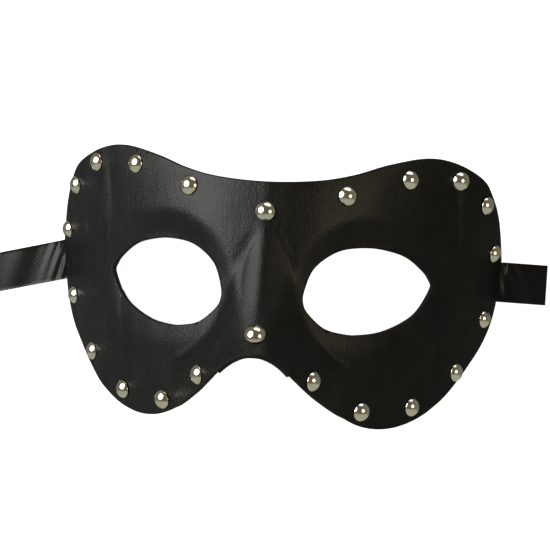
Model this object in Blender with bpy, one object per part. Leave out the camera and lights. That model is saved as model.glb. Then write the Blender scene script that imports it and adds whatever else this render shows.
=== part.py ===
"""A studded leather half mask lying face up, with a short tie ribbon at each side.

Metres, +Z up. +X is the viewer's right, +Y the top of the mask and +Z out of its face. The table is at z = 0,
and the origin is on it, at the middle of the footprint of mask and ribbons together. The mask's own frame, the
empty, has the same axes with x = 0 on the mask's mirror line and z = 0 at the brow.
"""

import math
from collections import namedtuple

import bmesh
import bpy
import numpy as np
from mathutils import Matrix, Vector
from mathutils.geometry import delaunay_2d_cdt

for old in list(bpy.data.objects):
    bpy.data.objects.remove(old, do_unlink=True)

# Leather
HALF_WIDTH = 0.0880        # mirror line to side edge, straight across
HEIGHT = 0.0992            # lobes to top corners, straight up
LEATHER = 0.0020           # thickness
WRAP_DEPTH = 0.0652        # side edges behind the brow
BOW_DEPTH = 0.0041         # top and bottom behind the middle
TOP_EASE = 0.117           # share of the wrap lost from the middle to the top
END_EASE = 0.121           # share of the wrap lost at the top and the bottom

# Nose ridge
RIDGE_TOP = 0.0235         # where it starts, above mid height
RIDGE_END = -0.0200        # lower edge of the leather on the mirror line
RIDGE_RISE = 0.0190        # height at the lower edge
RIDGE_EVEN = 0.45          # share of the height that grows evenly on the way down
RIDGE_POWER = 3.2          # how the rest grows
RIDGE_SLOPE = 0.40         # fall to either side of its crest
RIDGE_FLANK = 0.95         # fall past its shoulders
RIDGE_SHOULDER = 0.0088    # crest to shoulder
RIDGE_WAIST = 0.0020       # from here down the shoulders draw together, above mid height
RIDGE_NARROWING = 0.0286   # over what height they would meet
RIDGE_ROUND = 0.0018       # softness of crest and shoulders
RIDGE_FOOT = 0.0008        # softness where the flanks end

# Eye holes and sockets
EYE_ACROSS = 0.0374        # middle of a hole from the mirror line
EYE_UP = 0.0007            # middle of a hole above mid height
EYE_WIDTH = 0.0456
EYE_HEIGHT = 0.0308
SOCKET_DEPTH = 0.0032      # dent round the hole
SOCKET_NOSE = 0.0290       # rim of the dent from the middle of the hole: towards the nose
SOCKET_SIDE = 0.0300       # towards the side
SOCKET_TOP = 0.0275        # upwards
SOCKET_BOTTOM = 0.0230     # downwards
SOCKET_WALL = 0.42         # share of that distance over which the dent deepens

# Creases beside the ridge and bends down the sides
CREASE_DEPTH = 0.0009
CREASE_SPREAD = 0.0013
BEND_HEIGHT = 0.0011
BEND_SPREAD = 0.0060

# Studs
STUD_DIAMETER = 0.0070
STUD_HEIGHT = 0.0020
POST_DIAMETER = 0.0018
BACK_DIAMETER = 0.0040
BACK_THICKNESS = 0.0006
POST_CLEARANCE = 0.0003    # round the post in its hole
SEAT_GAP = 0.0003          # under the dome
BACK_GAP = 0.0005          # over the back head

# Ribbons
RIBBON_WIDTH = 0.0157
RIBBON_THICKNESS = 0.0010
RIBBON_UP = 0.0036         # middle of the ribbon where it passes the edge, above mid height
RIBBON_LAP = 0.0140        # glued stretch inside the mask
RIBBON_GAP = 0.0003        # between ribbon and leather
RIBBON_BEND = 0.0020       # straight stretch past the edge
LEFT_FREE = 0.0281         # past the edge, seen from the front
RIGHT_FREE = 0.0183
LEFT_DROOP = 13.8          # degrees below straight across
RIGHT_DROOP = 1.2

# Fineness of the leather's facets
GRID = 0.0046
EDGE_STEP = 0.0042
EYE_STEP = 0.0031
HOLE_SIDES = 8
STUD_SIDES = 12
DOME_RINGS = 4

HALF_HEIGHT = HEIGHT / 2

# The outline from the brow round the right side to the nose, in shares of HALF_WIDTH and HALF_HEIGHT
Edge = namedtuple("Edge", "name across up")
OUTLINE = (
    Edge("brow_middle", 0.000, 0.767),
    Edge("brow", 0.200, 0.790),
    Edge("brow_side", 0.345, 0.846),
    Edge("brow_rise", 0.482, 0.931),
    Edge("crest", 0.640, 0.996),
    Edge("crest_end", 0.762, 0.972),
    Edge("corner", 0.880, 0.872),
    Edge("temple_top", 0.930, 0.752),
    Edge("temple", 0.967, 0.592),
    Edge("side_top", 0.988, 0.410),
    Edge("side", 1.000, 0.170),
    Edge("side_low", 0.979, -0.185),
    Edge("cheek_side", 0.928, -0.430),
    Edge("cheek", 0.832, -0.672),
    Edge("cheek_corner", 0.737, -0.852),
    Edge("lobe_out", 0.622, -0.968),
    Edge("lobe", 0.500, -1.003),
    Edge("lobe_in", 0.376, -0.937),
    Edge("nose_flank", 0.247, -0.742),
    Edge("nose_wing", 0.133, -0.518),
    Edge("nose_side", 0.062, -0.428),
)

# The right eye hole, in shares of half EYE_WIDTH and half EYE_HEIGHT from its middle
EYE = (
    Edge("outer_corner", 0.990, 0.070),
    Edge("outer_top", 0.964, 0.250),
    Edge("lid_1", 0.857, 0.462),
    Edge("lid_2", 0.612, 0.760),
    Edge("lid_3", 0.358, 0.918),
    Edge("lid_top", 0.000, 1.005),
    Edge("lid_4", -0.375, 0.961),
    Edge("lid_5", -0.639, 0.794),
    Edge("lid_6", -0.871, 0.470),
    Edge("inner_side", -0.985, 0.000),
    Edge("inner_corner", -0.996, -0.260),
    Edge("inner_low", -0.921, -0.496),
    Edge("low_1", -0.670, -0.832),
    Edge("low_2", -0.377, -0.966),
    Edge("low_3", -0.119, -0.993),
    Edge("low_4", 0.228, -0.928),
    Edge("low_5", 0.574, -0.713),
    Edge("low_6", 0.802, -0.432),
)

# Dents and bends along a curve through three points, in shares of HALF_WIDTH and HALF_HEIGHT
Fold = namedtuple("Fold", "name x1 y1 x2 y2 x3 y3 height spread")
CREASES = (
    Fold("left_inner", -0.024, 0.424, -0.078, 0.170, -0.064, -0.090, -1.0, 1.0),
    Fold("left_outer", -0.038, 0.424, -0.090, 0.268, -0.112, 0.120, -0.5, 0.8),
    Fold("right", 0.040, 0.430, 0.090, 0.290, 0.130, 0.100, -0.9, 1.1),
)
BENDS = (
    Fold("left_top", -0.745, 1.050, -0.700, 0.600, -0.715, 0.000, 1.0, 1.1),
    Fold("left_low", -0.650, 0.080, -0.628, -0.300, -0.590, -0.850, 0.6, 0.9),
    Fold("right", 0.745, 1.050, 0.775, 0.600, 0.800, 0.050, 1.7, 1.0),
)

# Seats of the studs on both sides, set by hand, in shares of HALF_WIDTH and HALF_HEIGHT
Seat = namedtuple("Seat", "number left_across left_up right_across right_up")
SEATS = (
    Seat(1, 0.323, 0.714, 0.317, 0.691),
    Seat(2, 0.576, 0.857, 0.564, 0.830),
    Seat(3, 0.782, 0.864, 0.771, 0.846),
    Seat(4, 0.909, 0.682, 0.903, 0.675),
    Seat(5, 0.967, 0.322, 0.960, 0.304),
    Seat(6, 0.928, -0.208, 0.932, -0.214),
    Seat(7, 0.796, -0.619, 0.813, -0.618),
    Seat(8, 0.608, -0.851, 0.625, -0.852),
    Seat(9, 0.408, -0.860, 0.417, -0.859),
    Seat(10, 0.232, -0.599, 0.226, -0.594),
)
BROW_STUD_UP = 0.0276
NOSE_STUD_UP = -0.0134


def material(name, colour, roughness, metallic):
    """A Principled material with one colour."""
    made = bpy.data.materials.new(name)
    made.use_nodes = True
    shader = made.node_tree.nodes["Principled BSDF"]
    shader.inputs["Base Color"].default_value = (*colour, 1.0)
    shader.inputs["Roughness"].default_value = roughness
    shader.inputs["Metallic"].default_value = metallic
    made.diffuse_color = (*colour, 1.0)
    return made


def fold_height(x, y, fold, height, spread, lap=False):
    """One dent or bend along a curve, fading out at both ends: a rounded groove, or a swelling on its outer side."""
    best = np.full(np.shape(x), np.inf)
    along = np.zeros(np.shape(x))
    outer = np.zeros(np.shape(x))
    knots = 9
    for k in range(knots):
        t = k / (knots - 1)
        near = (1 - t) ** 2, 2 * t * (1 - t), t * t
        # the curve passes through the middle point at t = 0.5
        mid_x = 2 * fold.x2 - (fold.x1 + fold.x3) / 2
        mid_y = 2 * fold.y2 - (fold.y1 + fold.y3) / 2
        px = (near[0] * fold.x1 + near[1] * mid_x + near[2] * fold.x3) * HALF_WIDTH
        py = (near[0] * fold.y1 + near[1] * mid_y + near[2] * fold.y3) * HALF_HEIGHT
        if k:
            dx, dy = px - last_x, py - last_y
            share = ((x - last_x) * dx + (y - last_y) * dy) / (dx * dx + dy * dy)
            share = np.clip(share, 0, 1)
            gap = np.hypot(x - last_x - share * dx, y - last_y - share * dy)
            along = np.where(gap < best, (k - 1 + share) / (knots - 1), along)
            side = np.sign(x - last_x - share * dx) * np.sign(fold.x1)
            outer = np.where(gap < best, side, outer)
            best = np.minimum(gap, best)
        last_x, last_y = px, py
    fade = np.sin(np.pi * along) ** 0.7
    if lap:
        out = np.where(outer > 0, best, 0) / (spread * fold.spread)
        return fold.height * height * fade * out * np.exp(1 - out)
    return fold.height * height * fade * np.exp(-0.5 * (best / (spread * fold.spread)) ** 2)


def socket(x, y):
    """The dent round the nearer eye hole, deepest above it."""
    across = np.abs(x) - EYE_ACROSS
    up = y - EYE_UP
    wide = np.where(across < 0, SOCKET_NOSE, SOCKET_SIDE)
    high = np.where(up < 0, SOCKET_BOTTOM, SOCKET_TOP)
    share = np.clip((1 - np.hypot(across / wide, up / high)) / SOCKET_WALL, 0, 1)
    step = share * share * (3 - 2 * share)
    above = 0.5 + 0.5 * np.tanh(3 * up / EYE_HEIGHT + 0.5)
    out = np.clip(across / SOCKET_SIDE, 0, 1)
    return -SOCKET_DEPTH * step * (0.35 + 0.65 * above) * (1 - 0.5 * out)


def ridge(x, y):
    """The nose ridge, a roof that grows towards the lower edge, with a gentler top and steeper flanks."""
    down = np.clip((RIDGE_TOP - y) / (RIDGE_TOP - RIDGE_END), 0, 1.15)
    rise = RIDGE_RISE * (RIDGE_EVEN * down + (1 - RIDGE_EVEN) * down**RIDGE_POWER)
    shoulder = RIDGE_SHOULDER * np.clip(1 - (RIDGE_WAIST - y) / RIDGE_NARROWING, 0.4, 1)
    side = np.hypot(x, RIDGE_ROUND) - RIDGE_ROUND
    past = np.abs(x) - shoulder
    past = (past + np.hypot(past, RIDGE_ROUND)) / 2
    left = rise - RIDGE_SLOPE * side - (RIDGE_FLANK - RIDGE_SLOPE) * past
    return (left + np.hypot(left, RIDGE_FOOT)) / 2


def wrap(x, y):
    """The plain curve of the leather round the face."""
    across = (x / HALF_WIDTH) ** 2
    up = y / HALF_HEIGHT
    drop = 1.128 * across - 0.200 * across**2 + 0.072 * across**3
    ease = 1 - TOP_EASE * up - END_EASE * up * up
    return -WRAP_DEPTH * drop * ease - BOW_DEPTH * up * up


def surface(x, y):
    """Height of the leather's outer face in the mask's frame."""
    z = wrap(x, y) + ridge(x, y) + socket(x, y)
    for fold in CREASES:
        z = z + fold_height(x, y, fold, CREASE_DEPTH, CREASE_SPREAD)
    for fold in BENDS:
        z = z + fold_height(x, y, fold, BEND_HEIGHT, BEND_SPREAD, lap=True)
    return z


def outer_points(x, y):
    return np.stack([x, y, surface(x, y)], axis=-1)


def normals(x, y):
    """Unit normals of the outer face, pointing out."""
    step = 0.00005
    slope_x = (surface(x + step, y) - surface(x - step, y)) / (2 * step)
    slope_y = (surface(x, y + step) - surface(x, y - step)) / (2 * step)
    n = np.stack([-slope_x, -slope_y, np.ones(np.shape(x))], axis=-1)
    return n / np.linalg.norm(n, axis=-1, keepdims=True)


def inner_points(x, y):
    return outer_points(x, y) - LEATHER * normals(x, y)


# Length along the wrap at mid height, so that facets are even although the sides are steep
ROLL_X = np.linspace(0, 1.3 * HALF_WIDTH, 600)
ROLL_SLOPE = np.gradient(wrap(ROLL_X, 0 * ROLL_X), ROLL_X)
ROLL_STEPS = np.hypot(1, ROLL_SLOPE[:-1] / 2 + ROLL_SLOPE[1:] / 2) * np.diff(ROLL_X)
ROLL_S = np.concatenate([[0], np.cumsum(ROLL_STEPS)])


def flatten(points):
    """Front-view points to the flat pattern."""
    s = np.sign(points[:, 0]) * np.interp(np.abs(points[:, 0]), ROLL_X, ROLL_S)
    return np.stack([s, points[:, 1]], axis=1)


def unflatten(points):
    """Flat pattern points back to the front view."""
    x = np.sign(points[:, 0]) * np.interp(np.abs(points[:, 0]), ROLL_S, ROLL_X)
    return np.stack([x, points[:, 1]], axis=1)


def smooth_loop(knots, steps=12):
    """A closed smooth curve through the knots."""
    knots = np.array(knots)
    loop = []
    for k in range(len(knots)):
        a, b, c, d = (knots[(k + i) % len(knots)] for i in (-1, 0, 1, 2))
        for step in range(steps):
            t = step / steps
            loop.append(
                b
                + 0.5 * t * (c - a)
                + t * t * (a - 2.5 * b + 2 * c - 0.5 * d)
                + t**3 * (1.5 * b - 1.5 * c + 0.5 * d - 0.5 * a)
            )
    return np.array(loop)


def resample(loop, step):
    """The closed loop with points at one even spacing."""
    closed = np.vstack([loop, loop[:1]])
    lengths = np.linalg.norm(np.diff(closed, axis=0), axis=1)
    travelled = np.concatenate([[0], np.cumsum(lengths)])
    count = max(12, round(travelled[-1] / step))
    at = np.arange(count) * travelled[-1] / count
    return np.stack([np.interp(at, travelled, closed[:, i]) for i in (0, 1)], axis=1)


def outline_loop():
    """The whole outline in the front view, clockwise from the brow."""
    right = [(e.across * HALF_WIDTH, e.up * HALF_HEIGHT) for e in OUTLINE]
    left = [(-x, y) for x, y in reversed(right[1:])]
    return smooth_loop(right + [(0.0, RIDGE_END)] + left)


def eye_loop(side):
    """One eye hole in the front view."""
    half_width, half_height = EYE_WIDTH / 2, EYE_HEIGHT / 2
    knots = [(side * (EYE_ACROSS + e.across * half_width), EYE_UP + e.up * half_height) for e in EYE]
    return smooth_loop(knots)


def inside(points, loop):
    """Which points lie inside the closed loop, by crossings to their right."""
    odd = np.zeros(len(points), bool)
    ends = np.roll(loop, -1, axis=0)
    for (x1, y1), (x2, y2) in zip(loop, ends):
        if y1 == y2:
            continue
        crosses = (points[:, 1] < y1) != (points[:, 1] < y2)
        at = x1 + (points[:, 1] - y1) / (y2 - y1) * (x2 - x1)
        odd ^= crosses & (points[:, 0] < at)
    return odd


def clear_of(points, others, gap):
    """Which points keep the gap to all the others."""
    keep = np.ones(len(points), bool)
    for other in others:
        keep &= np.linalg.norm(points - other, axis=1) > gap
    return keep


# Where each stud sits in the front view
Place = namedtuple("Place", "name x y")
PLACES = [Place("stud_brow", 0.0, BROW_STUD_UP), Place("stud_nose", 0.0, NOSE_STUD_UP)]
for seat in SEATS:
    left_x, left_y = -seat.left_across * HALF_WIDTH, seat.left_up * HALF_HEIGHT
    right_x, right_y = seat.right_across * HALF_WIDTH, seat.right_up * HALF_HEIGHT
    PLACES.append(Place(f"stud_left_{seat.number}", left_x, left_y))
    PLACES.append(Place(f"stud_right_{seat.number}", right_x, right_y))


def ring_on_surface(place, radius, sides):
    """Front-view points of a circle laid on the surface round a stud's seat."""
    axis = Vector(normals(np.array(place.x), np.array(place.y)))
    turn = axis.to_track_quat("Z", "Y").to_matrix()
    ring = []
    for k in range(sides):
        angle = 2 * math.pi * k / sides
        offset = turn @ Vector((radius * math.cos(angle), radius * math.sin(angle), 0))
        ring.append((place.x + offset.x, place.y + offset.y))
    return np.array(ring)


def crease_rows():
    """Extra pattern points along the creases and beside them."""
    rows = []
    for fold in CREASES:
        for t in (0.15, 0.38, 0.62, 0.85):
            low, mid, high = (1 - t) * (1 - 2 * t), 4 * t * (1 - t), t * (2 * t - 1)
            x = (low * fold.x1 + mid * fold.x2 + high * fold.x3) * HALF_WIDTH
            y = (low * fold.y1 + mid * fold.y2 + high * fold.y3) * HALF_HEIGHT
            rows += [(x, y), (x - 2 * CREASE_SPREAD, y), (x + 2 * CREASE_SPREAD, y)]
    return np.array(rows)


def make_shell():
    """The leather: a flat pattern cut into facets, carried onto the surface and given its thickness."""
    edge = resample(flatten(outline_loop()), EDGE_STEP)
    eyes = [resample(flatten(eye_loop(side)), EYE_STEP) for side in (-1, 1)]
    hole_radius = (POST_DIAMETER / 2 + POST_CLEARANCE) / math.cos(math.pi / HOLE_SIDES)
    holes = [flatten(ring_on_surface(place, hole_radius, HOLE_SIDES)) for place in PLACES]
    collars = [flatten(ring_on_surface(place, 0.43 * STUD_DIAMETER, HOLE_SIDES)) for place in PLACES]
    loops = [edge, *eyes, *holes]
    border = np.vstack(loops)

    within = inside(np.vstack(collars), edge)
    collar = np.vstack(collars)[within]
    collar = collar[clear_of(collar, np.vstack([edge, *eyes]), 0.4 * EDGE_STEP)]
    crease = flatten(crease_rows())
    crease = crease[clear_of(crease, np.vstack([border, collar]), 0.35 * GRID)]
    fixed = np.vstack([border, collar, crease])

    columns = int(1.1 * ROLL_S[-1] / GRID)
    rows = int(HEIGHT / GRID / 0.87)
    grid = []
    for row in range(-rows, rows + 1):
        for column in range(-columns, columns + 1):
            grid.append(((column + 0.5 * (row % 2)) * GRID, row * 0.87 * GRID))
    grid = np.array(grid)
    grid = grid[inside(grid, edge)]
    for hole in (*eyes, *holes):
        grid = grid[~inside(grid, hole)]
    grid = grid[clear_of(grid, fixed, 0.62 * GRID)]

    flat = np.vstack([fixed, grid])
    segments = []
    start = 0
    for loop in loops:
        count = len(loop)
        segments += [(start + k, start + (k + 1) % count) for k in range(count)]
        start += count
    pattern = delaunay_2d_cdt([Vector(p) for p in flat], segments, [], 0, 1e-7)
    flat = np.array([tuple(v) for v in pattern[0]])
    triangles = [tuple(face) for face in pattern[2]]
    middles = np.array([flat[list(face)].mean(axis=0) for face in triangles])
    keep = inside(middles, edge)
    for hole in (*eyes, *holes):
        keep &= ~inside(middles, hole)
    triangles = [face for face, wanted in zip(triangles, keep) if wanted]

    front = unflatten(flat)
    outer = outer_points(front[:, 0], front[:, 1])
    depth = normals(front[:, 0], front[:, 1])
    # the wall of each post hole runs along its post
    for place, hole in zip(PLACES, holes):
        axis = normals(np.array(place.x), np.array(place.y))
        for point in hole:
            depth[np.argmin(np.linalg.norm(flat - point, axis=1))] = axis
    inner = outer - LEATHER * depth

    count = len(flat)
    used = {}
    for face in triangles:
        for k in range(3):
            used[face[k], face[(k + 1) % 3]] = True
    faces = list(triangles)
    faces += [tuple(count + i for i in reversed(face)) for face in triangles]
    faces += [(b, a, count + a, count + b) for a, b in used if (b, a) not in used]
    return mesh_object("mask_shell", np.vstack([outer, inner]), faces, leather, smooth=True)


def mesh_object(name, points, faces, finish, smooth=False):
    """A mesh object in the mask's frame, without unused points."""
    mesh = bpy.data.meshes.new(name)
    mesh.from_pydata([tuple(map(float, p)) for p in points], [], faces)
    body = bmesh.new()
    body.from_mesh(mesh)
    bmesh.ops.delete(body, geom=[v for v in body.verts if not v.link_faces], context="VERTS")
    bmesh.ops.recalc_face_normals(body, faces=body.faces)
    body.to_mesh(mesh)
    body.free()
    mesh.materials.append(finish)
    if smooth:
        mesh.shade_smooth()
        mesh.set_sharp_from_angle(angle=math.radians(40))
    made = bpy.data.objects.new(name, mesh)
    bpy.context.scene.collection.objects.link(made)
    made.parent = mask
    return made


def make_stud(place):
    """One stud: a low dome, its post through the leather and the plain head behind it."""
    point = Vector(outer_points(np.array(place.x), np.array(place.y)))
    axis = Vector(normals(np.array(place.x), np.array(place.y)))
    # on hollow ground the rim meets the leather first
    rim = ring_on_surface(place, STUD_DIAMETER / 2, STUD_SIDES)
    ground = outer_points(rim[:, 0], rim[:, 1])
    lift = max(0.0, max((Vector(p) - point).dot(axis) for p in ground)) + SEAT_GAP
    radius = STUD_DIAMETER / 2
    ball = (radius**2 + STUD_HEIGHT**2) / (2 * STUD_HEIGHT)
    opening = math.asin(radius / ball)
    post = POST_DIAMETER / 2
    back = BACK_DIAMETER / 2
    under = -lift - LEATHER - BACK_GAP
    profile = []
    for k in range(DOME_RINGS + 1):
        angle = opening * k / DOME_RINGS
        profile.append((ball * math.sin(angle), ball * math.cos(angle) - ball + STUD_HEIGHT))
    profile += [(post, 0.0), (post, under), (back, under), (back, under - BACK_THICKNESS), (0.0, under - BACK_THICKNESS)]

    body = bmesh.new()
    verts = [body.verts.new((x, 0.0, z)) for x, z in profile]
    edges = [body.edges.new(pair) for pair in zip(verts, verts[1:])]
    bmesh.ops.spin(
        body,
        geom=verts + edges,
        axis=(0, 0, 1),
        cent=(0, 0, 0),
        steps=STUD_SIDES,
        angle=2 * math.pi,
        use_merge=True,
        use_duplicate=False,
    )
    bmesh.ops.remove_doubles(body, verts=body.verts, dist=1e-6)
    bmesh.ops.recalc_face_normals(body, faces=body.faces)
    mesh = bpy.data.meshes.new(place.name)
    body.to_mesh(mesh)
    body.free()
    mesh.materials.append(metal)
    mesh.shade_smooth()
    mesh.set_sharp_from_angle(angle=math.radians(40))
    made = bpy.data.objects.new(place.name, mesh)
    bpy.context.scene.collection.objects.link(made)
    made.parent = mask
    made.location = point + lift * axis
    made.rotation_mode = "QUATERNION"
    made.rotation_quaternion = axis.to_track_quat("Z", "Y")
    return made


def edge_crossing(start, direction):
    """Where a line in the front view leaves the mask, as a distance from its start."""
    loop = outline_loop()
    ends = np.roll(loop, -1, axis=0)
    across = np.array([-direction[1], direction[0]])
    reach = 0.0
    for a, b in zip(loop, ends):
        da, db = np.dot(a - start, across), np.dot(b - start, across)
        if (da < 0) != (db < 0):
            hit = a + (b - a) * da / (da - db)
            reach = max(reach, np.dot(hit - start, direction))
    return reach


def ribbon_lines(side, droop):
    """The ribbon's parallel lines in the front view: where each passes the edge, and their direction."""
    angle = math.radians(droop)
    direction = np.array([side * math.cos(angle), -math.sin(angle)])
    lateral = np.array([0.0, 1.0])
    start = np.array([side * 0.5 * HALF_WIDTH, RIBBON_UP + 0.5 * HALF_WIDTH * math.tan(angle)])
    lines = []
    for share in (-1.0, -0.5, 0.0, 0.5, 1.0):
        offset = share * RIBBON_WIDTH / 2 / math.cos(angle)
        line = start + offset * lateral
        lines.append(line + edge_crossing(line, direction) * direction)
    return lines, direction


def lowest_edge():
    """The lowest point of the leather's inner edge over both ribbons."""
    low = 0.0
    for side, droop in ((-1, LEFT_DROOP), (1, RIGHT_DROOP)):
        for x, y in ribbon_lines(side, droop)[0]:
            low = min(low, inner_points(np.array(x), np.array(y))[2])
    return low


def make_ribbon(name, side, free, droop):
    """A flat ribbon: glued up the inside of the leather, bent round its edge and laid on the table."""
    crossings, direction = ribbon_lines(side, droop)
    table = lowest_edge() - RIBBON_GAP - RIBBON_THICKNESS
    middle = table + RIBBON_THICKNESS / 2
    hug = RIBBON_GAP + RIBBON_THICKNESS / 2
    end = side * (HALF_WIDTH + free)
    rows = []
    for crossing in crossings:
        steep = normals(np.array(crossing[0]), np.array(crossing[1]))
        line = []
        # up the inside of the leather, from the top of the lap to the edge
        for step in range(5, -1, -1):
            back = RIBBON_LAP * steep[2] * step / 5
            at = crossing - back * direction
            face = inner_points(np.array(at[0]), np.array(at[1]))
            line.append(face - hug * normals(np.array(at[0]), np.array(at[1])))
        # round the lower corner of the edge
        corner = inner_points(np.array(crossing[0]), np.array(crossing[1]))
        for share in (0.5, 1.0):
            pull = (1 - share) * -steep + share * np.array([0.0, 0.0, -1.0])
            line.append(corner + hug * pull / np.linalg.norm(pull))
        # along the table to a cut straight across the photograph's plane
        first = line[-1]
        run = (end - first[0]) / direction[0]
        for share in (RIBBON_BEND / run, 0.25, 0.5, 0.75, 1.0):
            spot = first[:2] + share * run * direction
            line.append(np.array([spot[0], spot[1], middle]))
        rows.append(np.array(line))
    rows = np.array(rows)

    along = np.gradient(rows, axis=1)
    along /= np.linalg.norm(along, axis=2, keepdims=True)
    width = np.array([0.0, side, 0.0])
    up = np.cross(along, width)
    up /= np.linalg.norm(up, axis=2, keepdims=True)
    # mitred at the bends so that the thickness stays even
    steps = np.diff(rows, axis=1)
    steps /= np.linalg.norm(steps, axis=2, keepdims=True)
    cosine = np.ones(rows.shape[:2])
    turns = np.clip((steps[:, 1:] * steps[:, :-1]).sum(axis=2), -1, 1)
    cosine[:, 1:-1] = np.sqrt((1 + turns) / 2)
    up = up / cosine[:, :, None]
    up[:, -5:] = (0.0, 0.0, 1.0)
    half = RIBBON_THICKNESS / 2
    top = rows + half * up
    bottom = rows - half * up
    lines, count = rows.shape[:2]

    def at(layer, line, step):
        return (layer * lines + line) * count + step

    faces = []
    for line in range(lines - 1):
        for step in range(count - 1):
            quad = [(line, step), (line + 1, step), (line + 1, step + 1), (line, step + 1)]
            faces.append([at(0, *corner) for corner in quad])
            faces.append([at(1, *corner) for corner in reversed(quad)])
    for line in (0, lines - 1):
        for step in range(count - 1):
            faces.append([at(0, line, step), at(0, line, step + 1), at(1, line, step + 1), at(1, line, step)])
    for step in (0, count - 1):
        for line in range(lines - 1):
            faces.append([at(0, line, step), at(0, line + 1, step), at(1, line + 1, step), at(1, line, step)])
    points = np.vstack([top.reshape(-1, 3), bottom.reshape(-1, 3)])
    return mesh_object(name, points, faces, satin)


leather = material("black_leather", (0.018, 0.018, 0.019), 0.5, 0.0)
metal = material("nickel", (0.72, 0.68, 0.60), 0.18, 1.0)
satin = material("black_satin", (0.012, 0.012, 0.013), 0.35, 0.0)

# The mask's frame stands over the middle of the footprint, with its brow above the table
mask = bpy.data.objects.new("mask", None)
bpy.context.scene.collection.objects.link(mask)
mask.location = (
    (LEFT_FREE - RIGHT_FREE) / 2,
    0.0,
    RIBBON_THICKNESS + RIBBON_GAP - lowest_edge(),
)

make_shell()
for place in PLACES:
    make_stud(place)
make_ribbon("ribbon_left", -1, LEFT_FREE, LEFT_DROOP)
make_ribbon("ribbon_right", 1, RIGHT_FREE, RIGHT_DROOP)
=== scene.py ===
"""Looks of the studded leather half mask, lying face up on a white table."""

import math
from collections import namedtuple

import bmesh
import bpy
import numpy as np
from mathutils import Matrix, Vector
from mathutils.geometry import delaunay_2d_cdt


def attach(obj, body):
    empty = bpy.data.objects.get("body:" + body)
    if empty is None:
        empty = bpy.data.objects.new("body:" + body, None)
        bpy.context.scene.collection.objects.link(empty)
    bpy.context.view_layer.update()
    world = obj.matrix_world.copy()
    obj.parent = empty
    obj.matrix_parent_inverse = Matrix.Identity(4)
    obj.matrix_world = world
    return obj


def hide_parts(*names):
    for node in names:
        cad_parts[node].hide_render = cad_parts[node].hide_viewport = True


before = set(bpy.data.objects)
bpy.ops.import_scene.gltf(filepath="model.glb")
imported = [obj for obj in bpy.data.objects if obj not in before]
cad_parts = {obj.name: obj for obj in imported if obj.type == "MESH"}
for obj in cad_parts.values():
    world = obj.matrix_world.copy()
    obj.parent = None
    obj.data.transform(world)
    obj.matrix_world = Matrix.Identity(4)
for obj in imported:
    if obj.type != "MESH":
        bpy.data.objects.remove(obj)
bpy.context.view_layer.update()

# ---------------------------------------------------------------- sizes, as in the solids (metres)
HALF_WIDTH = 0.0880
HEIGHT = 0.0992
LEATHER = 0.0020
WRAP_DEPTH = 0.0652
BOW_DEPTH = 0.0041
TOP_EASE = 0.117
END_EASE = 0.121
RIDGE_TOP = 0.0235
RIDGE_END = -0.0200
RIDGE_RISE = 0.0190
RIDGE_EVEN = 0.45
RIDGE_POWER = 3.2
RIDGE_SLOPE = 0.40
RIDGE_FLANK = 0.95
RIDGE_SHOULDER = 0.0088
RIDGE_WAIST = 0.0020
RIDGE_NARROWING = 0.0286
RIDGE_ROUND = 0.0018
RIDGE_FOOT = 0.0008
EYE_ACROSS = 0.0374
EYE_UP = 0.0007
EYE_WIDTH = 0.0456
EYE_HEIGHT = 0.0308
SOCKET_DEPTH = 0.0032
SOCKET_NOSE = 0.0290
SOCKET_SIDE = 0.0300
SOCKET_TOP = 0.0275
SOCKET_BOTTOM = 0.0230
SOCKET_WALL = 0.42
CREASE_DEPTH = 0.0009
CREASE_SPREAD = 0.0013
BEND_HEIGHT = 0.0011
BEND_SPREAD = 0.0060
STUD_DIAMETER = 0.0070
STUD_HEIGHT = 0.0020
POST_DIAMETER = 0.0018
BACK_DIAMETER = 0.0040
BACK_THICKNESS = 0.0006
POST_CLEARANCE = 0.0003
SEAT_GAP = 0.0003
BACK_GAP = 0.0005
RIBBON_WIDTH = 0.0157
RIBBON_THICKNESS = 0.0010
RIBBON_UP = 0.0036
RIBBON_LAP = 0.0140
RIBBON_GAP = 0.0003
RIBBON_BEND = 0.0020
LEFT_FREE = 0.0281
RIGHT_FREE = 0.0183
LEFT_DROOP = 13.8
RIGHT_DROOP = 1.2
HALF_HEIGHT = HEIGHT / 2

# fineness of the looks
GRID = 0.00125
EDGE_STEP = 0.0008
EYE_STEP = 0.0008
ROUNDING = 0.00045         # radius of the leather's cut corners
WAVE_HEIGHT = 0.00011      # slow waves of the leather
PRESS_DEPTH = 0.00015      # dent under each stud
PRESS_REACH = 0.0030
STUD_SIDES = 40
DOME_RINGS = 15
SATIN_THICKNESS = 0.00035
SATIN_RIPPLE = 0.00035     # ripples of the free ribbon ends
HUMP_LENGTH = 0.0025       # edge of the leather to the top of the ribbon's hump
LEFT_HUMP = 0.0010
RIGHT_HUMP = 0.0003
SETTLE_LENGTH = 0.0040     # edge of the leather to where the ribbon meets the table

Edge = namedtuple("Edge", "name across up")
OUTLINE = (
    Edge("brow_middle", 0.000, 0.767),
    Edge("brow", 0.200, 0.790),
    Edge("brow_side", 0.345, 0.846),
    Edge("brow_rise", 0.482, 0.931),
    Edge("crest", 0.640, 0.996),
    Edge("crest_end", 0.762, 0.972),
    Edge("corner", 0.880, 0.872),
    Edge("temple_top", 0.930, 0.752),
    Edge("temple", 0.967, 0.592),
    Edge("side_top", 0.988, 0.410),
    Edge("side", 1.000, 0.170),
    Edge("side_low", 0.979, -0.185),
    Edge("cheek_side", 0.928, -0.430),
    Edge("cheek", 0.832, -0.672),
    Edge("cheek_corner", 0.737, -0.852),
    Edge("lobe_out", 0.622, -0.968),
    Edge("lobe", 0.500, -1.003),
    Edge("lobe_in", 0.376, -0.937),
    Edge("nose_flank", 0.247, -0.742),
    Edge("nose_wing", 0.133, -0.518),
    Edge("nose_side", 0.062, -0.428),
)
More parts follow.
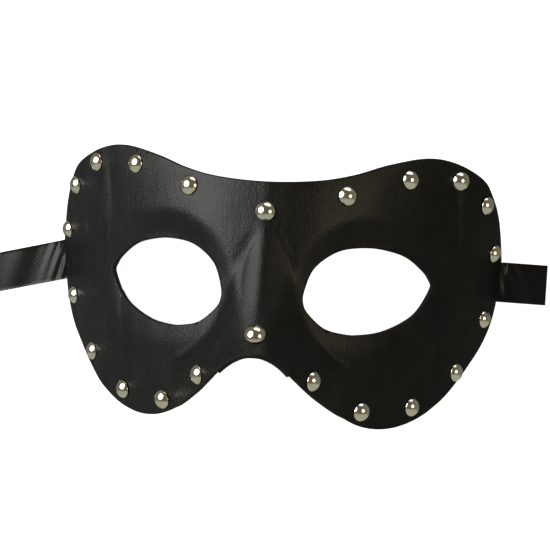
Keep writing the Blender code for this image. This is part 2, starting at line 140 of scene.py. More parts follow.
EYE = (
    Edge("outer_corner", 0.990, 0.070),
    Edge("outer_top", 0.964, 0.250),
    Edge("lid_1", 0.857, 0.462),
    Edge("lid_2", 0.612, 0.760),
    Edge("lid_3", 0.358, 0.918),
    Edge("lid_top", 0.000, 1.005),
    Edge("lid_4", -0.375, 0.961),
    Edge("lid_5", -0.639, 0.794),
    Edge("lid_6", -0.871, 0.470),
    Edge("inner_side", -0.985, 0.000),
    Edge("inner_corner", -0.996, -0.260),
    Edge("inner_low", -0.921, -0.496),
    Edge("low_1", -0.670, -0.832),
    Edge("low_2", -0.377, -0.966),
    Edge("low_3", -0.119, -0.993),
    Edge("low_4", 0.228, -0.928),
    Edge("low_5", 0.574, -0.713),
    Edge("low_6", 0.802, -0.432),
)
Fold = namedtuple("Fold", "name x1 y1 x2 y2 x3 y3 height spread")
CREASES = (
    Fold("left_inner", -0.024, 0.424, -0.078, 0.170, -0.064, -0.090, -1.0, 1.0),
    Fold("left_outer", -0.038, 0.424, -0.090, 0.268, -0.112, 0.120, -0.5, 0.8),
    Fold("right", 0.040, 0.430, 0.090, 0.290, 0.130, 0.100, -0.9, 1.1),
)
BENDS = (
    Fold("left_top", -0.745, 1.050, -0.700, 0.600, -0.715, 0.000, 1.0, 1.1),
    Fold("left_low", -0.650, 0.080, -0.628, -0.300, -0.590, -0.850, 0.6, 0.9),
    Fold("right", 0.745, 1.050, 0.775, 0.600, 0.800, 0.050, 1.7, 1.0),
)
Seat = namedtuple("Seat", "number left_across left_up right_across right_up")
SEATS = (
    Seat(1, 0.323, 0.714, 0.317, 0.691),
    Seat(2, 0.576, 0.857, 0.564, 0.830),
    Seat(3, 0.782, 0.864, 0.771, 0.846),
    Seat(4, 0.909, 0.682, 0.903, 0.675),
    Seat(5, 0.967, 0.322, 0.960, 0.304),
    Seat(6, 0.928, -0.208, 0.932, -0.214),
    Seat(7, 0.796, -0.619, 0.813, -0.618),
    Seat(8, 0.608, -0.851, 0.625, -0.852),
    Seat(9, 0.408, -0.860, 0.417, -0.859),
    Seat(10, 0.232, -0.599, 0.226, -0.594),
)
BROW_STUD_UP = 0.0276
NOSE_STUD_UP = -0.0134


# ---------------------------------------------------------------- the leather's surface
def fold_height(x, y, fold, height, spread, lap=False):
    """A rounded fold along a curve through three points, or a lap that swells on its outer side only."""
    best = np.full(np.shape(x), np.inf)
    along = np.zeros(np.shape(x))
    outer = np.zeros(np.shape(x))
    knots = 17
    mid_x = 2 * fold.x2 - (fold.x1 + fold.x3) / 2
    mid_y = 2 * fold.y2 - (fold.y1 + fold.y3) / 2
    for k in range(knots):
        t = k / (knots - 1)
        near = (1 - t) ** 2, 2 * t * (1 - t), t * t
        px = (near[0] * fold.x1 + near[1] * mid_x + near[2] * fold.x3) * HALF_WIDTH
        py = (near[0] * fold.y1 + near[1] * mid_y + near[2] * fold.y3) * HALF_HEIGHT
        if k:
            dx, dy = px - last_x, py - last_y
            share = np.clip(((x - last_x) * dx + (y - last_y) * dy) / (dx * dx + dy * dy), 0, 1)
            gap = np.hypot(x - last_x - share * dx, y - last_y - share * dy)
            along = np.where(gap < best, (k - 1 + share) / (knots - 1), along)
            side = np.sign(x - last_x - share * dx) * np.sign(fold.x1)
            outer = np.where(gap < best, side, outer)
            best = np.minimum(gap, best)
        last_x, last_y = px, py
    fade = np.sin(np.pi * along) ** 0.7
    if lap:
        out = np.where(outer > 0, best, 0) / (spread * fold.spread)
        return fold.height * height * fade * out * np.exp(1 - out)
    return fold.height * height * fade * np.exp(-0.5 * (best / (spread * fold.spread)) ** 2)


def socket(x, y):
    """The shallow dish round each eye, deepest above it."""
    across = np.abs(x) - EYE_ACROSS
    up = y - EYE_UP
    wide = np.where(across < 0, SOCKET_NOSE, SOCKET_SIDE)
    high = np.where(up < 0, SOCKET_BOTTOM, SOCKET_TOP)
    share = np.clip((1 - np.hypot(across / wide, up / high)) / SOCKET_WALL, 0, 1)
    step = share * share * (3 - 2 * share)
    above = 0.5 + 0.5 * np.tanh(3 * up / EYE_HEIGHT + 0.5)
    out = np.clip(across / SOCKET_SIDE, 0, 1)
    return -SOCKET_DEPTH * step * (0.35 + 0.65 * above) * (1 - 0.5 * out)


def ridge(x, y):
    """The nose ridge, a roof with a gentler top and steeper flanks."""
    down = np.clip((RIDGE_TOP - y) / (RIDGE_TOP - RIDGE_END), 0, 1.15)
    rise = RIDGE_RISE * (RIDGE_EVEN * down + (1 - RIDGE_EVEN) * down**RIDGE_POWER)
    shoulder = RIDGE_SHOULDER * np.clip(1 - (RIDGE_WAIST - y) / RIDGE_NARROWING, 0.4, 1)
    side = np.hypot(x, RIDGE_ROUND) - RIDGE_ROUND
    past = np.abs(x) - shoulder
    past = (past + np.hypot(past, RIDGE_ROUND)) / 2
    left = rise - RIDGE_SLOPE * side - (RIDGE_FLANK - RIDGE_SLOPE) * past
    return (left + np.hypot(left, RIDGE_FOOT)) / 2


def wrap(x, y):
    """The curve of the whole mask round the face."""
    across = (x / HALF_WIDTH) ** 2
    up = y / HALF_HEIGHT
    drop = 1.128 * across - 0.200 * across**2 + 0.072 * across**3
    return -WRAP_DEPTH * drop * (1 - TOP_EASE * up - END_EASE * up * up) - BOW_DEPTH * up * up


def surface(x, y):
    z = wrap(x, y) + ridge(x, y) + socket(x, y)
    for fold in CREASES:
        z = z + fold_height(x, y, fold, 0.30 * CREASE_DEPTH, CREASE_SPREAD)
        z = z + fold_height(x, y, fold, 0.55 * CREASE_DEPTH, 0.35 * CREASE_SPREAD)
    for fold in BENDS:
        z = z + fold_height(x, y, fold, BEND_HEIGHT, BEND_SPREAD, lap=True)
    return z


def outer_points(x, y):
    return np.stack([x, y, surface(x, y)], axis=-1)


def normals(x, y):
    step = 0.00005
    slope_x = (surface(x + step, y) - surface(x - step, y)) / (2 * step)
    slope_y = (surface(x, y + step) - surface(x, y - step)) / (2 * step)
    n = np.stack([-slope_x, -slope_y, np.ones(np.shape(x))], axis=-1)
    return n / np.linalg.norm(n, axis=-1, keepdims=True)


def inner_points(x, y):
    return outer_points(x, y) - LEATHER * normals(x, y)


ROLL_X = np.linspace(0, 1.3 * HALF_WIDTH, 600)
ROLL_SLOPE = np.gradient(wrap(ROLL_X, 0 * ROLL_X), ROLL_X)
ROLL_STEPS = np.hypot(1, ROLL_SLOPE[:-1] / 2 + ROLL_SLOPE[1:] / 2) * np.diff(ROLL_X)
ROLL_S = np.concatenate([[0], np.cumsum(ROLL_STEPS)])


def flatten(points):
    s = np.sign(points[:, 0]) * np.interp(np.abs(points[:, 0]), ROLL_X, ROLL_S)
    return np.stack([s, points[:, 1]], axis=1)


def unflatten(points):
    x = np.sign(points[:, 0]) * np.interp(np.abs(points[:, 0]), ROLL_S, ROLL_X)
    return np.stack([x, points[:, 1]], axis=1)


def smooth_loop(knots, steps=12):
    knots = np.array(knots)
    loop = []
    for k in range(len(knots)):
        a, b, c, d = (knots[(k + i) % len(knots)] for i in (-1, 0, 1, 2))
        for step in range(steps):
            t = step / steps
            loop.append(
                b
                + 0.5 * t * (c - a)
                + t * t * (a - 2.5 * b + 2 * c - 0.5 * d)
                + t**3 * (1.5 * b - 1.5 * c + 0.5 * d - 0.5 * a)
            )
    return np.array(loop)


def resample(loop, step):
    closed = np.vstack([loop, loop[:1]])
    lengths = np.linalg.norm(np.diff(closed, axis=0), axis=1)
    travelled = np.concatenate([[0], np.cumsum(lengths)])
    count = max(12, round(travelled[-1] / step))
    at = np.arange(count) * travelled[-1] / count
    return np.stack([np.interp(at, travelled, closed[:, i]) for i in (0, 1)], axis=1)


def outline_loop():
    right = [(e.across * HALF_WIDTH, e.up * HALF_HEIGHT) for e in OUTLINE]
    left = [(-x, y) for x, y in reversed(right[1:])]
    return smooth_loop(right + [(0.0, RIDGE_END)] + left)


def eye_loop(side):
    half_width, half_height = EYE_WIDTH / 2, EYE_HEIGHT / 2
    knots = [(side * (EYE_ACROSS + e.across * half_width), EYE_UP + e.up * half_height) for e in EYE]
    return smooth_loop(knots)


def inside(points, loop):
    odd = np.zeros(len(points), bool)
    for (x1, y1), (x2, y2) in zip(loop, np.roll(loop, -1, axis=0)):
        if y1 == y2:
            continue
        crosses = (points[:, 1] < y1) != (points[:, 1] < y2)
        odd ^= crosses & (points[:, 0] < x1 + (points[:, 1] - y1) / (y2 - y1) * (x2 - x1))
    return odd


def clear_of(points, others, gap):
    keep = np.ones(len(points), bool)
    for start in range(0, len(points), 2000):
        part = points[start : start + 2000]
        far = np.linalg.norm(part[:, None] - others[None], axis=2).min(axis=1)
        keep[start : start + 2000] = far > gap
    return keep


Place = namedtuple("Place", "name x y")
PLACES = [Place("stud_brow", 0.0, BROW_STUD_UP), Place("stud_nose", 0.0, NOSE_STUD_UP)]
for seat in SEATS:
    left_x, left_y = -seat.left_across * HALF_WIDTH, seat.left_up * HALF_HEIGHT
    right_x, right_y = seat.right_across * HALF_WIDTH, seat.right_up * HALF_HEIGHT
    PLACES.append(Place(f"stud_left_{seat.number}", left_x, left_y))
    PLACES.append(Place(f"stud_right_{seat.number}", right_x, right_y))


def ring_on_surface(place, radius, sides):
    axis = Vector(normals(np.array(place.x), np.array(place.y)))
    turn = axis.to_track_quat("Z", "Y").to_matrix()
    ring = []
    for k in range(sides):
        angle = 2 * math.pi * k / sides
        offset = turn @ Vector((radius * math.cos(angle), radius * math.sin(angle), 0))
        ring.append((place.x + offset.x, place.y + offset.y))
    return np.array(ring)


def edge_crossing(start, direction):
    loop = outline_loop()
    across = np.array([-direction[1], direction[0]])
    reach = 0.0
    for a, b in zip(loop, np.roll(loop, -1, axis=0)):
        da, db = np.dot(a - start, across), np.dot(b - start, across)
        if (da < 0) != (db < 0):
            reach = max(reach, np.dot(a + (b - a) * da / (da - db) - start, direction))
    return reach


def ribbon_lines(side, droop, shares):
    angle = math.radians(droop)
    direction = np.array([side * math.cos(angle), -math.sin(angle)])
    start = np.array([side * 0.5 * HALF_WIDTH, RIBBON_UP + 0.5 * HALF_WIDTH * math.tan(angle)])
    lines = []
    for share in shares:
        line = start + share * RIBBON_WIDTH / 2 / math.cos(angle) * np.array([0.0, 1.0])
        lines.append(line + edge_crossing(line, direction) * direction)
    return lines, direction


def lowest_edge():
    low = 0.0
    for side, droop in ((-1, LEFT_DROOP), (1, RIGHT_DROOP)):
        for x, y in ribbon_lines(side, droop, (-1.0, -0.5, 0.0, 0.5, 1.0))[0]:
            low = min(low, inner_points(np.array(x), np.array(y))[2])
    return low


LOW = lowest_edge()
OFFSET = np.array([(LEFT_FREE - RIGHT_FREE) / 2, 0.0, RIBBON_THICKNESS + RIBBON_GAP - LOW])


# ---------------------------------------------------------------- node helpers
class Tree:
    """A short way to write a material's nodes."""

    def __init__(self, name):
        self.material = bpy.data.materials.new(name)
        self.material.use_nodes = True
        self.nodes = self.material.node_tree.nodes
        self.links = self.material.node_tree.links
        self.shader = self.nodes["Principled BSDF"]
        self.coords = self.nodes.new("ShaderNodeTexCoord").outputs["Object"]

    def put(self, socket, value):
        if isinstance(value, bpy.types.NodeSocket):
            self.links.new(value, socket)
        elif isinstance(value, tuple) and len(value) == 3 and socket.type == "RGBA":
            socket.default_value = (*value, 1.0)
        else:
            socket.default_value = value

    def scaled(self, scale, turn=(0, 0, 0), source=None):
        node = self.nodes.new("ShaderNodeMapping")
        node.inputs["Scale"].default_value = scale
        node.inputs["Rotation"].default_value = turn
        self.links.new(source or self.coords, node.inputs["Vector"])
        return node.outputs[0]

    def noise(self, vector, scale, detail=3.0, rough=0.5, warp=0.0):
        node = self.nodes.new("ShaderNodeTexNoise")
        node.inputs["Scale"].default_value = scale
        node.inputs["Detail"].default_value = detail
        node.inputs["Roughness"].default_value = rough
        node.inputs["Distortion"].default_value = warp
        self.links.new(vector, node.inputs["Vector"])
        return node.outputs["Fac"]

    def cells(self, vector, scale, feature="F1", rand=1.0):
        node = self.nodes.new("ShaderNodeTexVoronoi")
        node.feature = feature
        node.inputs["Scale"].default_value = scale
        node.inputs["Randomness"].default_value = rand
        self.links.new(vector, node.inputs["Vector"])
        return node.outputs["Distance"]

    def math(self, kind, a, b=0.0):
        node = self.nodes.new("ShaderNodeMath")
        node.operation = kind
        self.put(node.inputs[0], a)
        self.put(node.inputs[1], b)
        return node.outputs[0]

    def span(self, value, low, high, to_low, to_high):
        node = self.nodes.new("ShaderNodeMapRange")
        self.put(node.inputs["Value"], value)
        node.inputs["From Min"].default_value = low
        node.inputs["From Max"].default_value = high
        node.inputs["To Min"].default_value = to_low
        node.inputs["To Max"].default_value = to_high
        return node.outputs[0]

    def mix(self, share, a, b):
        node = self.nodes.new("ShaderNodeMix")
        node.data_type = "RGBA"
        self.put(node.inputs[0], share)
        self.put(node.inputs[6], a)
        self.put(node.inputs[7], b)
        return node.outputs[2]

    def axis(self, which, source=None):
        node = self.nodes.new("ShaderNodeSeparateXYZ")
        self.links.new(source or self.coords, node.inputs[0])
        return node.outputs[which]

    def bump(self, height, strength, distance, below=None):
        node = self.nodes.new("ShaderNodeBump")
        node.inputs["Strength"].default_value = strength
        node.inputs["Distance"].default_value = distance
        self.links.new(height, node.inputs["Height"])
        if below is not None:
            self.links.new(below, node.inputs["Normal"])
        return node.outputs[0]

    def set(self, **values):
        for name, value in values.items():
            self.put(self.shader.inputs[name.replace("_", " ")], value)
        return self.material


def leather_face():
    """The dyed grain side: fine upright fibre streaks, pores and uneven polish, with a painted light cast,
    cool on the left side and olive on the right.
    """
    t = Tree("black_leather_grain")
    streaks = t.noise(t.scaled((1.0, 0.10, 1.0)), 1500.0, 4.0, 0.6)
    broad = t.noise(t.scaled((1.0, 0.28, 1.0)), 160.0, 3.0, 0.55)
    pores = t.cells(t.scaled((1.0, 0.75, 1.0)), 1500.0)
    clouds = t.noise(t.coords, 45.0, 3.0, 0.55)
    tone = t.math("ADD", t.math("MULTIPLY", streaks, 0.45), t.math("MULTIPLY", broad, 0.55))
    # painted light cast: cool and a little lighter on the left side, olive and darker on the right, blended
    # across x
    painted_cool_cast = t.mix(t.span(tone, 0.36, 0.66, 0.0, 1.0), (0.0012, 0.0013, 0.0018), (0.0054, 0.0056, 0.0072))
    painted_olive_cast = t.mix(t.span(tone, 0.36, 0.66, 0.0, 1.0), (0.0011, 0.0010, 0.0008), (0.0048, 0.0045, 0.0034))
    colour = t.mix(t.span(t.axis(0), -0.07, 0.03, 0.0, 1.0), painted_cool_cast, painted_olive_cast)
    wear = t.math("ADD", t.math("MULTIPLY", clouds, 0.6), t.math("MULTIPLY", streaks, 0.4))
    rough = t.span(wear, 0.35, 0.68, 0.35, 0.47)
    polish = t.span(t.axis(0), -0.06, 0.08, 0.36, 0.19)
    fine = t.bump(t.math("ADD", streaks, t.math("MULTIPLY", pores, 0.7)), 0.8, 0.00010)
    normal = t.bump(broad, 0.40, 0.00025, fine)
    return t.set(Base_Color=colour, Roughness=rough, Specular_IOR_Level=polish, Normal=normal)


def leather_back():
    """The flesh side: matt and fibrous."""
    t = Tree("black_leather_flesh")
    nap = t.noise(t.coords, 1400.0, 5.0, 0.7)
    patch = t.noise(t.coords, 70.0, 3.0, 0.6)
    tone = t.math("ADD", t.math("MULTIPLY", nap, 0.6), t.math("MULTIPLY", patch, 0.4))
    colour = t.mix(t.span(tone, 0.35, 0.68, 0, 1), (0.012, 0.012, 0.012), (0.034, 0.032, 0.030))
    normal = t.bump(nap, 0.8, 0.00012)
    return t.set(Base_Color=colour, Roughness=0.92, Normal=normal, Sheen_Weight=0.25)


def leather_edge():
    """The dyed and rubbed cut edge."""
    t = Tree("black_leather_edge")
    layers = t.noise(t.scaled((1.0, 1.0, 3.0)), 1800.0, 4.0, 0.65)
    colour = t.mix(t.span(layers, 0.35, 0.68, 0, 1), (0.0035, 0.0034, 0.0034), (0.0110, 0.0100, 0.0090))
    rough = t.span(layers, 0.35, 0.68, 0.7, 0.9)
    normal = t.bump(layers, 0.6, 0.00008)
    return t.set(Base_Color=colour, Roughness=rough, Specular_IOR_Level=0.2, Normal=normal)


def nickel():
    """Polished nickel plate, faintly champagne, with soft handling marks."""
    t = Tree("polished_nickel")
    smear = t.noise(t.coords, 900.0, 3.0, 0.55)
    fine = t.noise(t.scaled((1.0, 6.0, 1.0)), 3500.0, 2.0, 0.5)
    colour = t.mix(t.span(smear, 0.35, 0.66, 0, 1), (0.80, 0.74, 0.62), (0.88, 0.83, 0.72))
    rough = t.span(smear, 0.35, 0.68, 0.08, 0.15)
    return t.set(Base_Color=colour, Metallic=1.0, Roughness=rough, Normal=t.bump(fine, 0.05, 0.00001))


def satin():
    """Satin ribbon: long floats along the ribbon with a fine diagonal twill shadow."""
    t = Tree("black_satin_weave")
    warp = t.noise(t.scaled((0.06, 1.0, 1.0)), 4200.0, 2.0, 0.5)
    twill = t.nodes.new("ShaderNodeTexWave")
    twill.inputs["Scale"].default_value = 260.0
    twill.inputs["Distortion"].default_value = 0.6
    twill.inputs["Detail"].default_value = 2.0
    t.links.new(t.scaled((1.0, 1.0, 1.0), (0, 0, math.radians(52))), twill.inputs["Vector"])
    floats = t.math("ADD", t.math("MULTIPLY", warp, 0.6), t.math("MULTIPLY", twill.outputs["Fac"], 0.4))
    colour = t.mix(t.span(floats, 0.3, 0.75, 0, 1), (0.0012, 0.0012, 0.0014), (0.0060, 0.0060, 0.0068))
    rough = t.span(floats, 0.3, 0.75, 0.30, 0.20)
    normal = t.bump(floats, 0.25, 0.00005)
    return t.set(Base_Color=colour, Roughness=rough, Normal=normal, Specular_IOR_Level=0.28)


GRAIN, FLESH, CUT, NICKEL, SATIN = leather_face(), leather_back(), leather_edge(), nickel(), satin()


# ---------------------------------------------------------------- pieces
def piece(name, points, faces, finishes, marks=None, sharp=None):
    """A shaded mesh in the row's frame, riding on the mask."""
    mesh = bpy.data.meshes.new(name)
    mesh.from_pydata([tuple(map(float, p + OFFSET)) for p in points], [], faces)
    for finish in finishes:
        mesh.materials.append(finish)
    if marks is not None:
        mesh.polygons.foreach_set("material_index", marks)
    body = bmesh.new()
    body.from_mesh(mesh)
    bmesh.ops.delete(body, geom=[v for v in body.verts if not v.link_faces], context="VERTS")
    bmesh.ops.recalc_face_normals(body, faces=body.faces)
    body.to_mesh(mesh)
    body.free()
    mesh.shade_smooth()
    if sharp:
        mesh.set_sharp_from_angle(angle=math.radians(sharp))
    made = bpy.data.objects.new(name, mesh)
    bpy.context.scene.collection.objects.link(made)
    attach(made, "root")
    return made


def press(x, y):
    """How far the leather is pressed in under and round the studs."""
    depth = np.zeros(np.shape(x))
    for place in PLACES:
        tilt = normals(np.array(place.x), np.array(place.y))[2]
        # distance along the surface is longer than across the front view where it slopes sideways
        far = np.hypot((x - place.x) / max(tilt, 0.25), y - place.y)
        depth += PRESS_DEPTH * np.exp(-0.5 * (far / PRESS_REACH) ** 4)
    return depth


def unevenness(x, y):
    """Slow waves left by wet moulding."""
    s = np.sign(x) * np.interp(np.abs(x), ROLL_X, ROLL_S)
    waves = (
        0.40 * np.sin(230 * s + 1.3 * np.sin(150 * y + 0.4))
        + 0.35 * np.sin(140 * y + 190 * s + 2.1)
        + 0.25 * np.sin(310 * y - 260 * s + 0.7)
        + 0.20 * np.sin(520 * s + 90 * y + 1.1)
    )
    return WAVE_HEIGHT * waves


def make_leather():
    edge = resample(flatten(outline_loop()), EDGE_STEP)
    eyes = [resample(flatten(eye_loop(side)), EYE_STEP) for side in (-1, 1)]
    hole_radius = (POST_DIAMETER / 2 + POST_CLEARANCE)
    holes = [flatten(ring_on_surface(place, hole_radius, 16)) for place in PLACES]
    loops = [edge, *eyes, *holes]
    border = np.vstack(loops)
    columns = int(1.1 * ROLL_S[-1] / GRID)
    rows = int(HEIGHT / GRID / 0.87)
    row, column = np.meshgrid(np.arange(-rows, rows + 1), np.arange(-columns, columns + 1), indexing="ij")
    grid = np.stack([(column + 0.5 * (row % 2)) * GRID, row * 0.87 * GRID], axis=-1).reshape(-1, 2)
    grid = grid[inside(grid, edge)]
    for hole in (*eyes, *holes):
        grid = grid[~inside(grid, hole)]
    grid = grid[clear_of(grid, border, 0.62 * EDGE_STEP)]
    flat = np.vstack([border, grid])
    segments, start, spans = [], 0, []
    for loop in loops:
        count = len(loop)
        segments += [(start + k, start + (k + 1) % count) for k in range(count)]
        spans.append((start, count))
        start += count
    pattern = delaunay_2d_cdt([Vector(p) for p in flat], segments, [], 0, 1e-8)
    flat = np.array([tuple(v) for v in pattern[0]])
    triangles = [tuple(face) for face in pattern[2]]
    middles = flat[np.array(triangles)].mean(axis=1)
    keep = inside(middles, edge)
    for hole in (*eyes, *holes):
        keep &= ~inside(middles, hole)
    triangles = [face for face, wanted in zip(triangles, keep) if wanted]

    front = unflatten(flat)
    x, y = front[:, 0], front[:, 1]
    up = normals(x, y)
    low = unevenness(x, y) - press(x, y)
    count = len(flat)
    outer = outer_points(x, y) + low[:, None] * up
    inner = outer_points(x, y) - (LEATHER - 0.5 * low[:, None]) * up

    # each border is rounded over both corners of the cut
    follow = {}
    for face in triangles:
        for k in range(3):
            follow[face[k], face[(k + 1) % 3]] = True
    rim_next = {a: b for a, b in follow if (b, a) not in follow}
    rim_last = {b: a for a, b in rim_next.items()}
    rims = sorted(rim_next)
    lateral = {}
    for i in rims:
        run = outer[rim_next[i]] - outer[rim_last[i]]
        out = np.cross(run, up[i])
        lateral[i] = out / np.linalg.norm(out)
    radius = ROUNDING
    steps = [math.radians(a) for a in (22.5, 45, 67.5, 90)]
    profile = [(radius * math.sin(a), radius * (1 - math.cos(a))) for a in steps]
    profile += [(radius, LEATHER * 0.5)]
    profile += [(radius * math.sin(a), LEATHER - radius * (1 - math.cos(a))) for a in reversed(steps)]
    points = [outer, inner]
    ring_index = {}
    base = 2 * count
    for i in rims:
        tall = np.dot(outer[i] - inner[i], up[i]) / LEATHER
        for k, (out, down) in enumerate(profile):
            ring_index[i, k] = base
            # the border keeps its place: the face is drawn in by the rounding
            points.append((outer[i] + lateral[i] * (out - radius) - up[i] * down * tall)[None])
            base += 1
    for i in rims:
        outer[i] -= lateral[i] * radius
        inner[i] -= lateral[i] * radius
    faces = list(triangles)
    marks = [0] * len(faces)
    faces += [tuple(count + i for i in reversed(face)) for face in triangles]
    marks += [1] * len(triangles)
    last = len(profile) - 1
    for a, b in rim_next.items():
        chain_a = [a] + [ring_index[a, k] for k in range(last + 1)] + [count + a]
        chain_b = [b] + [ring_index[b, k] for k in range(last + 1)] + [count + b]
        for k in range(len(chain_a) - 1):
            faces.append((chain_b[k], chain_a[k], chain_a[k + 1], chain_b[k + 1]))
            marks.append(2)
    made = piece("leather_shell", np.vstack(points), faces, (GRAIN, FLESH, CUT), marks)
    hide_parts("mask_shell")
    return made


def make_stud(place):
    """A polished dome, its post and its back head."""
    point = outer_points(np.array(place.x), np.array(place.y))
    axis = Vector(normals(np.array(place.x), np.array(place.y)))
    rim = ring_on_surface(place, STUD_DIAMETER / 2, 12)
    ground = outer_points(rim[:, 0], rim[:, 1])
    lift = max(0.0, max((Vector(p) - Vector(point)).dot(axis) for p in ground)) + SEAT_GAP
    radius, height = STUD_DIAMETER / 2, STUD_HEIGHT
    ball = (radius**2 + height**2) / (2 * height)
    opening = math.asin(radius / ball)
    post, back = POST_DIAMETER / 2, BACK_DIAMETER / 2
    under = -lift - LEATHER - BACK_GAP
    profile = []
    for k in range(DOME_RINGS):
        angle = opening * k / DOME_RINGS
        profile.append((ball * math.sin(angle), ball * math.cos(angle) - ball + height))
    hem = 0.00016
    low = -lift * 0.85
    profile += [
        (radius, 0.0),
        (radius, low + hem),
        (radius - 0.00010, low + 0.00004),
    ]
    profile += [(radius - 0.00026, low), (post, low), (post, under), (back, under), (back, under - 0.6 * BACK_THICKNESS)]
    profile += [(0.85 * back, under - BACK_THICKNESS), (0.0, under - BACK_THICKNESS)]
    sides = STUD_SIDES
    turn = axis.to_track_quat("Z", "Y").to_matrix()
    seat_at = Vector(point) + lift * axis
    points, faces = [], []
    for r, z in profile:
        for k in range(1 if r == 0 else sides):
            angle = 2 * math.pi * k / sides
            points.append(seat_at + turn @ Vector((r * math.cos(angle), r * math.sin(angle), z)))
    rows = [1 if r == 0 else sides for r, z in profile]
    starts = np.concatenate([[0], np.cumsum(rows)])
    for k in range(len(profile) - 1):
        a, b = starts[k], starts[k + 1]
        for j in range(sides):
            n = (j + 1) % sides
            if rows[k] == 1:
                faces.append((a, b + j, b + n))
            elif rows[k + 1] == 1:
                faces.append((a + j, b, a + n))
            else:
                faces.append((a + j, b + j, b + n, a + n))
    faces = [tuple(int(i) for i in face) for face in faces]
    made = piece("polished_" + place.name, np.array([tuple(p) for p in points]), faces, (NICKEL,), sharp=50)
    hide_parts(place.name)
    return made


def make_ribbon(name, side, free, droop, rise):
    """Satin laid over the solid's line: glued lap, turn at the edge, free end on the table."""
    shares = np.linspace(-1, 1, 33)
    crossings, direction = ribbon_lines(side, droop, shares)
    table = LOW - RIBBON_GAP - RIBBON_THICKNESS
    thick = SATIN_THICKNESS
    middle = table + thick / 2 + 0.00005
    hug = RIBBON_GAP + thick / 2
    end = side * (HALF_WIDTH + free)
    rows = []
    for crossing, share in zip(crossings, shares):
        steep = normals(np.array(crossing[0]), np.array(crossing[1]))
        line = []
        for step in range(16, -1, -1):
            at = crossing - RIBBON_LAP * steep[2] * step / 16 * direction
            face = inner_points(np.array(at[0]), np.array(at[1]))
            line.append(face - hug * normals(np.array(at[0]), np.array(at[1])))
        corner = inner_points(np.array(crossing[0]), np.array(crossing[1]))
        for part in (0.2, 0.4, 0.6, 0.8, 1.0):
            pull = (1 - part) * -steep + part * np.array([0.0, 0.0, -1.0])
            line.append(corner + (RIBBON_GAP + thick / 2) * pull / np.linalg.norm(pull))
        first = line[-1]
        run = (end - first[0]) / direction[0]
        for part in np.linspace(0, 1, 41)[1:]:
            spot = first[:2] + part * run * direction
            far = part * run
            settle = min(1.0, far / SETTLE_LENGTH)
            z = first[2] + (middle - first[2]) * settle
            ripple = 0.5 + 0.5 * math.sin(310 * far + 1.2 * share)
            lift = SATIN_RIPPLE * math.sin(min(1.0, far / run) * math.pi) * ripple
            crinkle = 1 + 0.25 * math.sin(1400 * far + 5 * share)
            lift += rise * far / HUMP_LENGTH * math.exp(1 - far / HUMP_LENGTH) * crinkle
            line.append(np.array([spot[0], spot[1], z + lift]))
        rows.append(np.array(line))
    rows = np.array(rows)
    along = np.gradient(rows, axis=1)
    along /= np.linalg.norm(along, axis=2, keepdims=True)
    up = np.cross(along, np.array([0.0, side, 0.0]))
    up /= np.linalg.norm(up, axis=2, keepdims=True)
    # woven edges are a little fuller than the middle
    full = 0.5 * thick * (1 + 0.5 * np.exp(-(((1 - np.abs(shares)) / 0.06) ** 2)))[:, None, None]
    top = rows + full * up
    bottom = rows - full * up
    lines, count = rows.shape[:2]

    def at(layer, line, step):
        return (layer * lines + line) * count + step

    faces = []
    for line in range(lines - 1):
        for step in range(count - 1):
            quad = [(line, step), (line + 1, step), (line + 1, step + 1), (line, step + 1)]
            faces.append([at(0, *corner) for corner in quad])
            faces.append([at(1, *corner) for corner in reversed(quad)])
    for line in (0, lines - 1):
        for step in range(count - 1):
            corners = [(0, step), (0, step + 1), (1, step + 1), (1, step)]
            faces.append([at(layer, line, which) for layer, which in corners])
    for step in (0, count - 1):
        for line in range(lines - 1):
            corners = [(0, line), (0, line + 1), (1, line + 1), (1, line)]
            faces.append([at(layer, which, step) for layer, which in corners])
    points = np.vstack([top.reshape(-1, 3), bottom.reshape(-1, 3)])
    made = piece("satin_" + name, points, faces, (SATIN,), sharp=60)
    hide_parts(name)
    return made


make_leather()
for place in PLACES:
    make_stud(place)
make_ribbon("ribbon_left", -1, LEFT_FREE, LEFT_DROOP, LEFT_HUMP)
make_ribbon("ribbon_right", 1, RIGHT_FREE, RIGHT_DROOP, RIGHT_HUMP)


# ---------------------------------------------------------------- table, light and camera
def plain(name, colour, glow):
    made = bpy.data.materials.new(name)
    made.use_nodes = True
    shader = made.node_tree.nodes["Principled BSDF"]
    shader.inputs["Base Color"].default_value = (*colour, 1)
    shader.inputs["Roughness"].default_value = 0.9
    shader.inputs["Specular IOR Level"].default_value = 0.2
    shader.inputs["Emission Color"].default_value = (1, 1, 1, 1)
    shader.inputs["Emission Strength"].default_value = glow
    return made


table = bpy.data.meshes.new("table")
table.from_pydata([(-3, -3, 0), (3, -3, 0), (3, 3, 0), (-3, 3, 0)], [], [(0, 1, 2, 3)])
table.materials.append(plain("white_table", (0.5, 0.5, 0.5), 0.92))
table = bpy.data.objects.new("table", table)
bpy.context.scene.collection.objects.link(table)
table.visible_glossy = False


def softbox(name, at, target, size, watts, colour=(1, 1, 1)):
    data = bpy.data.lights.new(name, "AREA")
    data.shape = "ELLIPSE"
    data.size, data.size_y = size
    data.energy = watts
    data.color = colour
    made = bpy.data.objects.new(name, data)
    made.location = Vector(at)
    made.rotation_mode = "QUATERNION"
    made.rotation_quaternion = (Vector(target) - Vector(at)).to_track_quat("-Z", "Y")
    bpy.context.scene.collection.objects.link(made)
    return made


def glow(radiance, area):
    """Watts of a flat lamp that looks this bright."""
    return radiance * area * math.pi


centre = Vector((float(OFFSET[0]), 0.0, 0.05))


def lamp(name, towards, far, wide, high, radiance, colour=(1, 1, 1)):
    at = centre + far * Vector(towards).normalized()
    return softbox(name, at, centre, (wide, high), glow(radiance, math.pi / 4 * wide * high), colour)


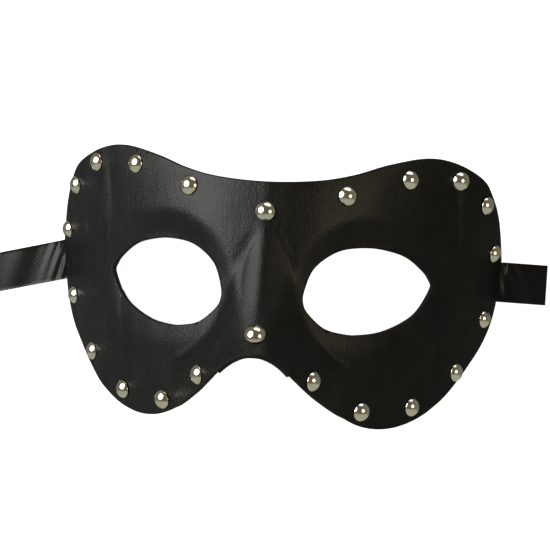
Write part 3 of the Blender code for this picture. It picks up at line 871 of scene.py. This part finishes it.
lamp("light_left", (-0.67, 0.30, 0.62), 0.70, 0.67, 0.67, 5.8, (0.98, 1.0, 0.96))
lamp("light_top", (0.20, 0.95, 0.14), 0.75, 0.70, 0.44, 1.8, (0.96, 1.0, 0.92))
lamp("light_right", (0.72, 0.10, 0.66), 0.75, 0.38, 0.38, 2.9, (1.0, 0.86, 0.60))

world = bpy.data.worlds.new("studio")
world.use_nodes = True
nodes, links = world.node_tree.nodes, world.node_tree.links
direction = nodes.new("ShaderNodeTexCoord")
parts = nodes.new("ShaderNodeSeparateXYZ")
links.new(direction.outputs["Generated"], parts.inputs[0])


def blend_by(value, low, high, below, above):
    """A colour that goes smoothly from below to above as the value passes from low to high."""
    ramp = nodes.new("ShaderNodeMapRange")
    ramp.interpolation_type = "SMOOTHSTEP"
    ramp.inputs["From Min"].default_value = low
    ramp.inputs["From Max"].default_value = high
    links.new(value, ramp.inputs["Value"])
    mix = nodes.new("ShaderNodeMix")
    mix.data_type = "RGBA"
    links.new(ramp.outputs[0], mix.inputs[0])
    for socket, colour in ((mix.inputs[6], below), (mix.inputs[7], above)):
        if isinstance(colour, tuple):
            socket.default_value = (*colour, 1.0)
        else:
            links.new(colour, socket)
    return mix.outputs[2]


room = blend_by(parts.outputs[2], -0.05, 0.75, (0.17, 0.175, 0.15), (0.125, 0.110, 0.080))
front = blend_by(parts.outputs[1], -0.55, -0.20, (0.38, 0.40, 0.34), room)
links.new(front, nodes["Background"].inputs["Color"])
nodes["Background"].inputs["Strength"].default_value = 1.0
bpy.context.scene.world = world
bpy.context.scene.view_settings.view_transform = "Standard"

FOCAL, DISTANCE = 1128.3, 389.9
YAW, PITCH, ROLL = (math.radians(a) for a in (-5.22, 3.68, -2.85))
SHIFT_X, SHIFT_Y = -4.95 + 0.17, -5.46 - 0.17
turn_y = Matrix(((math.cos(YAW), 0, math.sin(YAW)), (0, 1, 0), (-math.sin(YAW), 0, math.cos(YAW))))
turn_x = Matrix(((1, 0, 0), (0, math.cos(PITCH), -math.sin(PITCH)), (0, math.sin(PITCH), math.cos(PITCH))))
turn_z = Matrix(((math.cos(ROLL), -math.sin(ROLL), 0), (math.sin(ROLL), math.cos(ROLL), 0), (0, 0, 1)))
axes = (turn_z @ turn_x @ turn_y).transposed()
spot = axes @ Vector((-SHIFT_X, -SHIFT_Y, DISTANCE)) * 0.001 + Vector(OFFSET)
camera = bpy.data.cameras.new("camera")
camera.lens = FOCAL * 36 / 550
camera.sensor_width = 36
camera.clip_start, camera.clip_end = 0.01, 20
camera = bpy.data.objects.new("camera", camera)
bpy.context.scene.collection.objects.link(camera)
camera.matrix_world = Matrix.Translation(spot) @ axes.to_4x4()
bpy.context.scene.camera = camera
